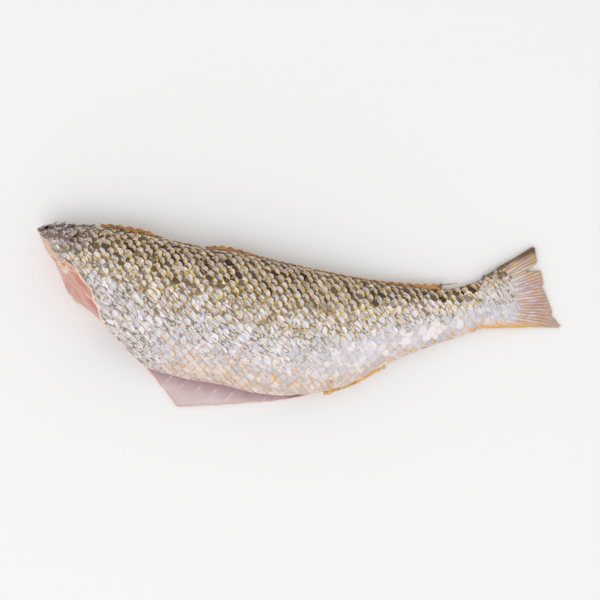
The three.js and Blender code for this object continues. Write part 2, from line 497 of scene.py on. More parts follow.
def connect(tree, shader, **inputs):
    """Links or sets the shader's inputs; a name's underscores stand for spaces."""
    for name, value in inputs.items():
        socket = shader.inputs[name.replace("_", " ")]
        if isinstance(value, bpy.types.NodeSocket):
            tree.links.new(value, socket)
        else:
            socket.default_value = value


def bump(tree, height, distance):
    """The normal of a surface with that relief."""
    inputs = {"Height": height, "Distance": distance}
    return add_node(tree, "ShaderNodeBump", inputs).outputs[0]


# ---------------------------------------------------------------- the trunk


RIB_TURN = math.radians(49)
RIM_REACH = 5 * MM  # the rim attribute rises from 0 at the skin's cut edge to 1 here
NEAR_CREASE = 1.75 * MM
STATION = 4 * MM
CAVITY_DEPTH = 24 * MM
VENT = Vector((19.6 * MM, -42.3 * MM, 0))
VENT_SIZE = 1.7 * MM
BACKBONE = Vector((0, 9 * MM, 12 * MM))
SPINAL_CORD = Vector((0, 14.6 * MM, 12 * MM))
CORD_RADIUS = 1.6 * MM
FAT = Vector((-148.5 * MM, 30 * MM, 23 * MM))
FLESH_GRAIN = 0.35 * MM
DRAWN_BACK = 3.6 * MM
TRUNK_VALUES = (
    "skin", "flesh", "lining", "rim", "bare", "flank", "inner", "vent", "rib", "bone", "marrow", "fat",
)


def trunk_material(settings):
    """Skin, cut flesh and belly lining in one material, parted by the mesh's attributes."""
    material, tree, shader = new_material("trunk")
    place = object_place(tree)
    flesh, lining, rim = (attribute(tree, name) for name in ("flesh", "lining", "rim"))
    flank, inner, vent = (attribute(tree, name) for name in ("flank", "inner", "vent"))
    wet = grain(tree, 90, 700, 0.10)

    skin = ramp(tree, flank, [(0.1, settings.back), (0.5, settings.flank), (0.9, settings.belly)])
    skin = blend(tree, smooth_step(tree, rim, 0.32, 0.16), skin, settings.tendon)
    skin = blend(tree, vent, skin, settings.vent)
    skin = blend(tree, attribute(tree, "bare"), skin, settings.bare)

    fibre = cloud(tree, object_place(tree, 3, math.radians(-50)), 420, 4)
    segments = add_node(
        tree, "ShaderNodeTexWave",
        {"Vector": place, "Scale": 42, "Distortion": 5, "Detail": 2, "Detail Scale": 1.4},
        wave_type="RINGS", rings_direction="X",
    ).outputs["Fac"]
    muscle = blend(tree, smooth_step(tree, fibre, 0.35, 0.7), settings.flesh_deep, settings.flesh)
    sheets = smooth_step(tree, segments, 0.9, 0.99)
    muscle = blend(tree, times(tree, sheets, 0.34), muscle, settings.tendon)
    under_skin = smooth_step(tree, rim, 0.2, 0.08)
    height = add_node(tree, "ShaderNodeSeparateXYZ", {0: place}).outputs["Z"]
    high_up = smooth_step(tree, height, 4 * MM, 9 * MM)
    edge = blend(tree, high_up, settings.cut_rim, settings.tendon)
    muscle = blend(tree, under_skin, muscle, edge)

    mottle = smooth_step(tree, cloud(tree, place, 260), 0.4, 0.6)
    muscle = blend(tree, times(tree, attribute(tree, "fat"), mottle), muscle, settings.fat)
    muscle = blend(tree, attribute(tree, "bone"), muscle, settings.bone)
    muscle = blend(tree, attribute(tree, "marrow"), muscle, settings.blood)

    broken = smooth_step(tree, cloud(tree, place, 150, 2), 0.47, 0.62)
    ribs = times(tree, attribute(tree, "rib"), broken, 0.6)
    # Painted shade: the lining darkens to its inner colour, and then to the blood colour, where it lies deep
    # in the cavity's shadow.
    membrane = blend(tree, inner, settings.lining, settings.lining_shade)
    membrane = blend(tree, ribs, membrane, settings.rib)
    membrane = blend(tree, smooth_step(tree, inner, 0.72, 0.95), membrane, settings.blood)

    tint = blend(tree, flesh, skin, muscle)
    tint = blend(tree, lining, tint, membrane)
    tint = shaded(tree, tint, wet["Shade"])
    rough = calc(tree, "MULTIPLY_ADD", wet["Gloss"], -0.18, 0.5)
    connect(
        tree, shader, Base_Color=tint, Roughness=rough, Normal=bump(tree, wet["Height"], 0.25 * MM),
        Subsurface_Weight=0.15, Subsurface_Scale=3 * MM, Coat_Weight=0.25, Coat_Roughness=0.2,
    )
    return material


class FISH_OT_trunk(bpy.types.Operator):
    """Make the trunk: skin, cut flesh and the lining of the open belly"""

    bl_idname = "fish.trunk"
    bl_label = "Trunk"

    def execute(self, context):
        settings = context.scene.raw_fish.trunk
        cut = CutTrunk()
        bm = remeshed("body", settings.voxel)
        self.mark_tissues(bm, cut)
        self.soften_skin(bm)
        self.model_details(bm, settings)
        smooth_faces(bm)
        finish_piece(bm, "fish_trunk", trunk_material(settings), "scaled_skin", "body")
        return {"FINISHED"}

    def mark_tissues(self, bm, cut):
        """Writes each vertex's tissue and place into attributes that the material reads."""
        self.layer = {name: bm.verts.layers.float.new(name) for name in TRUNK_VALUES}
        outline = Outline(cut.tree)
        deepest = {}
        self.crease = []
        for vert in bm.verts:
            kind = cut.kind_at(vert.co)
            crease = cut.rim_distance(vert.co)
            self.crease.append(crease)
            bare = DRAWN_BACK * self.behind_head(vert.co)
            rim = crease + bare
            if kind == SKIN:
                rim = abs(crease - bare)
                kind = FLESH if crease < bare else SKIN
            vert[self.layer["skin"]] = kind == SKIN
            vert[self.layer["flesh"]] = kind == FLESH
            vert[self.layer["lining"]] = kind == LINING
            vert[self.layer["rim"]] = min(rim / RIM_REACH, 1)
            vert[self.layer["bare"]] = self.bare_margin(vert.co) * ease(4.5 * MM, 3 * MM, crease)
            vert[self.layer["flank"]] = outline.share(vert.co)
            if kind == LINING:
                station = round(vert.co.x / STATION)
                deepest[station] = max(deepest.get(station, -1), vert.co.y)
        for vert in bm.verts:
            if vert[self.layer["lining"]]:
                depth = deepest[round(vert.co.x / STATION)] - vert.co.y
                # Painted shade: inner rises deep in the cavity, at the slit's end and under the upper flap's
                # edge, where the lining lies in shadow.
                slit_end_shade = 0.85 * ease(-24 * MM, -4 * MM, vert.co.x)
                shade_under_flap_edge = 0.66 * ease(-12 * MM, 1 * MM, vert.co.y - outline.edges(vert.co.x)[1])
                vert[self.layer["inner"]] = max(1 - clamp(depth / CAVITY_DEPTH), slit_end_shade, shade_under_flap_edge)

    def bare_margin(self, point):
        """1 where the skin behind the head has lost its scales along the cut."""
        return ease(22 * MM, 28 * MM, point.y) * ease(52 * MM, 44 * MM, point.y) * (point.x < -130 * MM)

    def behind_head(self, point):
        """1 where the skin has drawn back from the cut behind the head, and 0 away from it."""
        return ease(-10 * MM, 8 * MM, point.y) * ease(42 * MM, 28 * MM, point.y) * (point.x < -95 * MM)

    def soften_skin(self, bm):
        """Rounds off the CAD surface's facets, but keeps its cut edges."""
        near, away = [], []
        for vert, crease in zip(bm.verts, self.crease):
            (away if crease > NEAR_CREASE else near).append(vert)
        smoothed(bm, away, 14)
        smoothed(bm, near, 2, 0.4)

    def model_details(self, bm, settings):
        """Sinks the skin under its scales, and raises the backbone, the ribs and the vent."""
        bm.normal_update()
        across = Matrix.Rotation(-RIB_TURN, 2)
        for vert in bm.verts:
            if vert.co.z > FAT.z:
                vert[self.layer["fat"]] = ease(6 * MM, 2.5 * MM, (vert.co.xy - FAT.xy).length)
            if vert[self.layer["skin"]]:
                underside = ease(-0.3, -0.8, vert.normal.z)
                push = -settings.sink * ease(0.0, 0.4, vert[self.layer["rim"]]) * (1 + underside)
                reach = (vert.co.xy - VENT.xy).length / VENT_SIZE
                if vert.co.z > THICK and reach < 2:
                    vert[self.layer["vent"]] = ease(1.6, 0.6, reach)
                    ring = math.exp(-((reach - 0.9) / 0.35) ** 2)
                    push += 0.5 * MM * ring - 0.4 * MM * ease(0.6, 0.0, reach)
            elif vert[self.layer["flesh"]]:
                out = (vert.co.yz - BACKBONE.yz).length / (settings.backbone / 2)
                cord = (vert.co.yz - SPINAL_CORD.yz).length / CORD_RADIUS
                vert[self.layer["bone"]] = max(ease(1.12, 0.95, out), ease(1.9, 1.6, cord))
                vert[self.layer["marrow"]] = max(ease(0.5, 0.3, out), ease(1.1, 0.8, cord))
                push = 0.15 * MM * vert[self.layer["bone"]] - 0.9 * MM * vert[self.layer["marrow"]]
                push += FLESH_GRAIN * noise.noise(vert.co * 160)
            else:
                along = (across @ vert.co.xy).y / settings.rib_spacing
                off_rib = abs(along - round(along)) * settings.rib_spacing
                vert[self.layer["rib"]] = ease(0.8 * MM, 0.1 * MM, off_rib)
                push = 0.2 * MM * ease(1.4 * MM, 0.2 * MM, off_rib)
            vert.co += vert.normal * push
            vert.co.z = max(vert.co.z, 0.0)


# ---------------------------------------------------------------- the fins


FAN = Vector((97 * MM, 5.3 * MM))  # the tail's rays spread from here
FAN_ANGLE = math.radians(70)
RAY_WIDTH = 0.42 * MM
FORKS = ((0.24, 38 * MM, 52 * MM), (0.12, 52 * MM, 66 * MM))  # (half spread, where it starts and ends)
SUNK = 2 * MM


def fork(place, reach):
    """The distance to a ray's nearest branch, in ray spacings. Every ray forks twice on its way out."""
    off = abs(place - round(place))
    for spread, start, end in FORKS:
        off = abs(off - spread * ease(start, end, reach))
    return off


def tail_material(settings):
    """The web and its rays: silver at the root, mauve inside, olive above and orange below."""
    material, tree, shader = new_material("tail")
    ray, run, rise = (attribute(tree, name) for name in ("ray", "run", "rise"))
    patchy = cloud(tree, object_place(tree), 110)
    web = blend(tree, smooth_step(tree, rise, 0.55, 0.95), settings.tan, settings.olive_web)
    middle = times(tree, smooth_step(tree, run, 0.18, 0.4), smooth_step(tree, run, 0.9, 0.55))
    mauve = times(tree, middle, smooth_step(tree, patchy, 0.42, 0.6))
    web = blend(tree, mauve, web, settings.mauve)
    streaks = cloud(tree, object_place(tree, 3, math.radians(8)), 420, 2)
    pale = times(
        tree, smooth_step(tree, streaks, 0.5, 0.6), smooth_step(tree, run, 0.95, 0.6),
        smooth_step(tree, rise, 0.95, 0.6), 0.8,
    )
    web = blend(tree, pale, web, settings.silver)
    line = blend(tree, smooth_step(tree, rise, 0.5, 0.8), settings.line, settings.olive)
    web = blend(tree, times(tree, smooth_step(tree, ray, 0.25, 0.9), 0.75), web, line)
    root = times(tree, smooth_step(tree, run, 0.55, 0.2), smooth_step(tree, rise, 0.85, 0.6))
    web = blend(tree, root, web, settings.silver)
    upper = smooth_step(tree, calc(tree, "ADD", rise, times(tree, patchy, 0.08)), 0.91, 1.0)
    web = blend(tree, upper, web, settings.brown)
    lower = times(tree, smooth_step(tree, rise, 0.12, 0.02), smooth_step(tree, run, 0.85, 0.5))
    web = blend(tree, lower, web, settings.orange)
    wet = grain(tree, 160, 1200, 0.14)
    web = shaded(tree, web, wet["Shade"])
    rough = calc(tree, "MULTIPLY_ADD", wet["Gloss"], -0.2, 0.5)
    relief = calc(tree, "ADD", wet["Height"], ray)
    connect(
        tree, shader, Base_Color=web, Roughness=rough, Normal=bump(tree, relief, 0.3 * MM),
        Coat_Weight=0.3, Coat_Roughness=0.15,
    )
    return material


class FISH_OT_tail_fin(bpy.types.Operator):
    """Make the tail fin: a thin web on branching rays, frayed along its rear edge"""

    bl_idname = "fish.tail_fin"
    bl_label = "Tail fin"

    def execute(self, context):
        settings = context.scene.raw_fish.fins
        bm = remeshed("tail_fin", settings.voxel)
        smoothed(bm, list(bm.verts), 2)
        self.raise_rays(bm, settings)
        smooth_faces(bm)
        finish_piece(bm, "fish_tail_fin", tail_material(settings), "fin", "tail_fin")
        return {"FINISHED"}

    def raise_rays(self, bm, settings):
        """Thickens the fin along its rays, thins it between them and frays its rear edge."""
        names = ("ray", "run", "rise", "skin", "rim")
        layer = {name: bm.verts.layers.float.new(name) for name in names}
        tree = BVHTree.FromBMesh(bm)
        low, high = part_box("tail_fin")
        spacing = FAN_ANGLE / settings.rays
        bm.normal_update()
        moves = []
        for vert in bm.verts:
            flat = vert.co.xy - FAN
            reach = flat.length
            place = math.atan2(flat.y, flat.x) / spacing
            off = fork(place, reach) * spacing * reach
            ray = math.exp(-((off / RAY_WIDTH) ** 2)) * ease(26 * MM, 34 * MM, reach)
            run = (vert.co.x - low.x) / (high.x - low.x)
            to_tip = clamp(run / 0.62)
            top = mix(25 * MM, 44 * MM, to_tip) + 2 * MM * math.sin(math.pi * to_tip)
            vert[layer["ray"]] = ray
            vert[layer["run"]] = run
            vert[layer["rise"]] = clamp((vert.co.y - low.y) / (top - low.y))
            vert[layer["skin"]] = vert[layer["rim"]] = 1.0
            outwards = Vector((flat.x, flat.y, 0)).normalized()
            exit_point = tree.ray_cast(vert.co - vert.normal * 0.3 * MM, outwards)[0]
            left = (exit_point - vert.co).length if exit_point else 0.0
            thin = ease(0.1, 0.8, run)
            push = (settings.ray * ray - settings.web * thin * (1 - ray)) * (0.4 + 0.6 * thin)
            push *= clamp(vert.normal.z ** 2)
            fray = 1.0 * MM * (1 - ray) + 0.8 * MM * max(noise.noise(Vector((place * 1.7, 3, 0))), 0)
            pull = fray * ease(2.6 * MM, 0.0, left) * ease(0.35, 0.6, run)
            moves.append(vert.normal * push - outwards * pull)
        for vert, move in zip(bm.verts, moves):
            vert.co += move
            if vert.co.x < low.x + 0.8 * MM:
                vert.co.x -= SUNK
            vert.co.z = max(vert.co.z, 0.0)


def stub_material(name, tint, spotted, settings):
    """Horny fin, spotted with brown by that much, with the pale ends of its cut rays along its crest."""
    material, tree, shader = new_material(name)
    ray, crest = attribute(tree, "ray"), attribute(tree, "crest")
    spots = cloud(tree, object_place(tree), 300)
    share = times(tree, smooth_step(tree, spots, 0.4, 0.62), spotted)
    horn = blend(tree, share, tint, settings.stub_dark)
    cut = times(tree, smooth_step(tree, crest, 0.7, 0.95), ray)
    horn = blend(tree, cut, horn, settings.stub_core)
    wet = grain(tree, 160, 1200, 0.16)
    horn = shaded(tree, horn, wet["Shade"])
    connect(
        tree, shader, Base_Color=horn, Roughness=0.45, Normal=bump(tree, wet["Height"], 0.3 * MM),
        Coat_Weight=0.3, Coat_Roughness=0.15,
    )
    return material


STRAY_RAY = 90 * MM  # the one whole ray of the soft dorsal fin lies behind this
RIDGE = 0.12 * MM
RAG = 0.4 * MM
STUB_SUNK = 1.2 * MM
# (node, rays, material)
STUBS = (
    ("spiny_dorsal_fin_stub", 10, "dorsal"),
    ("soft_dorsal_fin_stub", 28, "dorsal"),
    ("anal_fin_stub", 9, "anal"),
)


class FISH_OT_stubs(bpy.types.Operator):
    """Make the trimmed dorsal and anal fins: low, ragged rows of cut rays"""

    bl_idname = "fish.stubs"
    bl_label = "Trimmed fins"

    def execute(self, context):
        settings = context.scene.raw_fish.fins
        materials = {
            "dorsal": stub_material("dorsal_stub", settings.stub, 1.0, settings),
            "anal": stub_material("anal_stub", settings.anal, 0.35, settings),
        }
        body = merged_copy("body")
        trunk = BVHTree.FromBMesh(body)
        body.free()
        for node, rays, fin in STUBS:
            bm = remeshed(node, 0.75 * settings.voxel)
            smoothed(bm, [vert for vert in bm.verts if vert.co.x < STRAY_RAY], 14)
            smoothed(bm, list(bm.verts), 2)
            self.roughen(bm, node, rays, trunk)
            smooth_faces(bm)
            finish_piece(bm, "fish_" + node, materials[fin], "cut_fin", node)
        return {"FINISHED"}

    def roughen(self, bm, node, rays, trunk):
        """Ridges the stub along its rays, frays its crest and sinks its foot into the trunk."""
        layer = {name: bm.verts.layers.float.new(name) for name in ("ray", "crest")}
        low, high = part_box(node)
        inwards = -1 if low.y > 0 else 1
        bm.normal_update()
        for vert in bm.verts:
            along = (vert.co.x - low.x) / (high.x - low.x) * rays
            off = abs(along - round(along))
            ray = math.exp(-((off / 0.22) ** 2))
            crest = clamp(abs(vert.normal.y))
            vert[layer["ray"]] = ray
            vert[layer["crest"]] = crest
            rag = noise.noise(Vector((vert.co.x * 700, 0, 5)))
            foot = ease(0.9 * MM, 0.2 * MM, (trunk.find_nearest(vert.co)[0] - vert.co).length)
            vert.co.y += inwards * STUB_SUNK * foot
            vert.co += vert.normal * (RIDGE * ray - 0.02 * MM)
            vert.co.y += RAG * rag * crest * (vert.co.x < STRAY_RAY)
            vert.co.z = max(vert.co.z, 0.0)


# ---------------------------------------------------------------- the scales


class Hide:
    """The finished trunk's and tail's surface, on which the scales are laid."""

    REACH = 150 * MM
    TURN = math.radians(2)
    HALF_ROUND = 90
    PAST_ROUND = 12
    BELLY_EDGE = 4 * MM

    def __init__(self, *pieces):
        bm = bmesh.new()
        for piece in pieces:
            bm.from_mesh(piece.data)
        skin, rim, bare = (bm.verts.layers.float[name] for name in ("skin", "rim", "bare"))
        self.skin = [min(vert[skin] for vert in face.verts) > 0.5 for face in bm.faces]
        self.rim = [min(vert[rim] for vert in face.verts) for face in bm.faces]
        self.bare = [max(vert[bare] for vert in face.verts) > 0.5 for face in bm.faces]
        self.tree = BVHTree.FromBMesh(bm)
        inner = [face for face, is_skin in zip(bm.faces, self.skin) if not is_skin]
        bmesh.ops.delete(bm, geom=inner, context="FACES")
        self.skin_tree = BVHTree.FromBMesh(bm)
        bm.free()
        self.outline = Outline(self.tree)
        self.rings = {}

    def ring(self, x, side):
        """(distance, point, normal) from the back's ridge round one flank to the belly's edge, at x."""
        if (x, side) not in self.rings:
            self.rings[x, side] = self.walk(x, side)
        return self.rings[x, side]

    def walk(self, x, side):
        """The ring's points, found by looking in from all round the flank."""
        back, belly = self.outline.edges(x)
        top = self.tree.ray_cast(Vector((x, (back + belly) / 2, ABOVE)), -UP)[0]
        centre = Vector((x, (back + belly) / 2, 0.42 * top.z if top else 10 * MM))
        hits = []
        for step in range(-self.HALF_ROUND, self.HALF_ROUND + self.PAST_ROUND):
            turn = step * self.TURN * side
            outwards = Vector((0, math.cos(turn), math.sin(turn)))
            hit = self.tree.ray_cast(centre + outwards * self.REACH, -outwards)
            hits.append(hit if hit[0] and self.skin[hit[2]] else None)
        known = [index for index, hit in enumerate(hits) if hit]
        if not known:
            return []
        start = max(known, key=lambda index: hits[index][0].y)
        ring = []
        for hit in hits[start:]:
            if not hit:
                break
            far = 0.0
            if ring:
                last_far, last, _ = ring[-1]
                if last.y < belly + self.BELLY_EDGE and hit[0].y > last.y:
                    break
                far = last_far + (hit[0] - last).length
            ring.append((far, hit[0], hit[1]))
        return ring

    def holds(self, point):
        """Whether the skin is what lies nearest to the point."""
        return self.skin[self.tree.find_nearest(point)[2]]

    def seat(self, x, side, distance):
        """(point, normal) on the skin at that distance from the back's ridge, or None past the belly."""
        ring = self.ring(x, side)
        for (far_a, point_a, normal_a), (far_b, point_b, normal_b) in zip(ring, ring[1:]):
            if far_b >= distance:
                share = (distance - far_a) / max(far_b - far_a, 1e-9)
                return point_a.lerp(point_b, share), normal_a.lerp(normal_b, share).normalized()
        return None


SCALE_VALUES = ("flank", "shade", "spot", "gloom", "warm", "pale")


def scale_pattern():
    """One scale's mesh on a unit disc, with x towards its free edge: a domed top and a flat underside."""
    bm = bmesh.new()
    bmesh.ops.create_circle(bm, cap_ends=True, radius=1, segments=16)
    uv = bm.loops.layers.uv.new("scale")
    for key in SCALE_VALUES:
        bm.verts.layers.float.new(key)
    top = list(bm.faces)
    sheet = bmesh.ops.duplicate(bm, geom=top)["geom"]
    under = [item for item in sheet if isinstance(item, bmesh.types.BMFace)]
    bmesh.ops.translate(bm, verts=list(under[0].verts), vec=(0, 0, -1))
    bmesh.ops.reverse_faces(bm, faces=under)
    bmesh.ops.bridge_loops(bm, edges=list(bm.edges))
    bmesh.ops.inset_region(bm, faces=top, thickness=0.4, depth=0)
    bmesh.ops.poke(bm, faces=top)
    bmesh.ops.recalc_face_normals(bm, faces=bm.faces)
    for face in bm.faces:
        face.smooth = face.normal.z > 0.5
        for loop in face.loops:
            loop[uv].uv = (loop.vert.co.x * 0.5 + 0.5, loop.vert.co.y * 0.5 + 0.5)
    for edge in bm.edges:
        edge.smooth = all(face.smooth for face in edge.link_faces)
    mesh = bpy.data.meshes.new("one_scale")
    bm.to_mesh(mesh)
    bm.free()
    return mesh


# How strong each mark of a scale is at a place between the back (0) and the belly (1).
# The first table sets how strong the painted highlight streaks are.
PAINTED_GLINT_STRENGTH = ((0.1, 0.7), (0.3, 0.95), (0.6, 1.0), (0.85, 0.7))
STROKES = ((0.15, 0.3), (0.4, 0.8), (0.65, 0.7), (0.85, 0.1))
DULL = ((0.1, 0.5), (0.3, 0.26), (0.6, 0.22), (0.85, 0.0))
RIM = ((0.05, 0.7), (0.25, 1.0), (0.5, 0.75), (0.66, 0.45), (0.85, 1.0))
RIM_WIDTH = ((0.1, 0.26), (0.4, 0.26), (0.6, 0.12), (0.9, 0.16))
# The wedge is dark pigment with painted shadow under the neighbouring scale's edge; the seam is a painted
# shadow line along that edge.
FOOT_SPOT_AND_SHADOW = ((0.05, 1.0), (0.22, 0.95), (0.34, 0.55), (0.5, 0.28), (0.8, 0.0))
SEAM_SHADOW = ((0.05, 1.0), (0.3, 0.6), (0.6, 0.2), (0.9, 0.05))
HALO = ((0.05, 0.65), (0.25, 0.5), (0.45, 0.2), (0.65, 0.0))


def disc_distance(tree, disc, along, across):
    """How far a scale's point lies outside its neighbour, whose disc is centred there."""
    away = vector_calc(tree, "DISTANCE", disc, (along, across, 0))["Value"]
    return calc(tree, "SUBTRACT", away, 1.0)


def scale_material(settings):
    """Horny scales: a silvery plate with painted highlight streaks, a golden rim below and a dark stroke
    where the next scale begins, which is dark pigment with painted shadow under that scale's free edge.
    """
    material, tree, shader = new_material("scales")
    spot_on, gloom = attribute(tree, "spot"), attribute(tree, "gloom")
    flank, shade, pale = attribute(tree, "flank"), attribute(tree, "shade"), attribute(tree, "pale")
    place = object_place(tree)
    uv = add_node(tree, "ShaderNodeUVMap", uv_map="scale").outputs[0]
    disc = vector_calc(tree, "MULTIPLY_ADD", uv, (2, 2, 0), (-1, -1, 0))["Vector"]
    inputs = {"Vector": place, "Scale": 420, "Detail": 2}
    wander = add_node(tree, "ShaderNodeTexNoise", inputs).outputs["Color"]
    wander = vector_calc(tree, "MULTIPLY_ADD", wander, (0.7, 0.7, 0), (-0.35, -0.35, 0))["Vector"]
    disc = vector_calc(tree, "ADD", disc, wander)["Vector"]
    axes = add_node(tree, "ShaderNodeSeparateXYZ", {0: disc}).outputs
    along, across = axes["X"], axes["Y"]
    out = vector_calc(tree, "LENGTH", disc)["Value"]

    drift = calc(tree, "MULTIPLY_ADD", cloud(tree, place, 60), 0.24, -0.12)
    zone = calc(tree, "ADD", flank, drift)
    tints = (settings.back, settings.upper, settings.middle, settings.lower, settings.belly)
    plate = ramp(tree, zone, list(zip((0.08, 0.28, 0.45, 0.68, 0.9), tints)))
    oblique = object_place(tree, 3.4, math.radians(-48))
    streaks = cloud(tree, oblique, 620, 2)
    # Painted highlights: oblique glint streaks blended into the plate colour.
    silver = times(tree, smooth_step(tree, streaks, 0.49, 0.63), curve(tree, zone, PAINTED_GLINT_STRENGTH))
    plate = blend(tree, smooth_step(tree, gloom, 0.0, 0.14), plate, settings.nape)
    plate = blend(tree, smooth_step(tree, gloom, 0.14, 0.24), plate, settings.stroke)
    plate = blend(tree, pale, plate, settings.lower)
    plate = blend(tree, silver, plate, settings.painted_glint)
    dull = times(tree, smooth_step(tree, streaks, 0.48, 0.34), curve(tree, zone, DULL))
    plate = blend(tree, dull, plate, settings.stroke)

    plain = calc(tree, "MULTIPLY_ADD", pale, -0.75, 1.0)
    broken = calc(tree, "ADD", cloud(tree, place, 480, 2), smooth_step(tree, zone, 0.7, 0.5))
    lower_half = smooth_step(tree, across, 0.35, -0.05)
    rim = times(
        tree,
        smooth_step(tree, calc(tree, "ADD", out, curve(tree, zone, RIM_WIDTH)), 0.92, 1.08),
        calc(tree, "MAXIMUM", lower_half, smooth_step(tree, zone, 0.6, 0.8)),
        smooth_step(tree, broken, 0.36, 0.52), curve(tree, zone, RIM),
        smooth_step(tree, gloom, 0.14, 0.0), plain,
    )
    rim_tint = blend(tree, smooth_step(tree, zone, 0.55, 0.78), settings.gold, settings.net)
    tint = blend(tree, rim, plate, rim_tint)

    # Dark pigment at the scale's foot, with painted shadow where the neighbouring scale's free edge
    # overhangs it.
    behind = disc_distance(tree, disc, -1 / settings.overlap, -2 / settings.breadth)
    tip = disc_distance(tree, disc, -2 / settings.overlap, 0.0)
    near = calc(tree, "MINIMUM", behind, tip)
    hatch = cloud(tree, oblique, 450, 2)
    halo = times(
        tree, smooth_step(tree, near, 0.9, 0.5), smooth_step(tree, hatch, 0.62, 0.45),
        spot_on, curve(tree, zone, HALO),
    )
    foot_spot_and_shadow = times(
        tree, smooth_step(tree, near, 0.58, 0.44), smooth_step(tree, hatch, 0.36, 0.46),
        smooth_step(tree, across, 0.35, 0.15), smooth_step(tree, across, -0.9, -0.7),
        spot_on, curve(tree, zone, FOOT_SPOT_AND_SHADOW),
    )
    seam_shadow = times(tree, smooth_step(tree, near, 0.22, 0.08), curve(tree, zone, SEAM_SHADOW), spot_on)
    nib = calc(tree, "ABSOLUTE", calc(tree, "SUBTRACT", cloud(tree, oblique, 330, 1), 0.5))
    nib = times(tree, smooth_step(tree, nib, 0.05, 0.018), curve(tree, zone, STROKES), plain)
    tint = blend(tree, halo, tint, settings.olive)
    tint = blend(tree, calc(tree, "MAXIMUM", foot_spot_and_shadow, seam_shadow), tint, settings.spot)
    tint = blend(tree, nib, tint, settings.dark_stroke)
    tint = blend(tree, attribute(tree, "warm"), tint, settings.warm)

    wet = grain(tree, 200, 1400, 0.12)
    light = times(
        tree, wet["Shade"], calc(tree, "MULTIPLY_ADD", shade, 0.28, 0.86),
        calc(tree, "SUBTRACT", 1.0, gloom),
    )
    tint = shaded(tree, tint, light)
    spoke = calc(tree, "ARCTAN2", across, calc(tree, "ADD", along, 1.3))
    inputs = {0: times(tree, spoke, 22), 1: out, 2: shade}
    grooves = cloud(tree, add_node(tree, "ShaderNodeCombineXYZ", inputs).outputs[0], 1, 2)
    relief = calc(tree, "ADD", times(tree, grooves, 0.5), streaks)
    rough = calc(tree, "MULTIPLY_ADD", wet["Gloss"], -0.2, 0.44)
    connect(
        tree, shader, Base_Color=tint, Roughness=rough, Normal=bump(tree, relief, 0.16 * MM),
        Specular_IOR_Level=0.16, Coat_Weight=0.08, Coat_Roughness=0.1,
    )
    return material


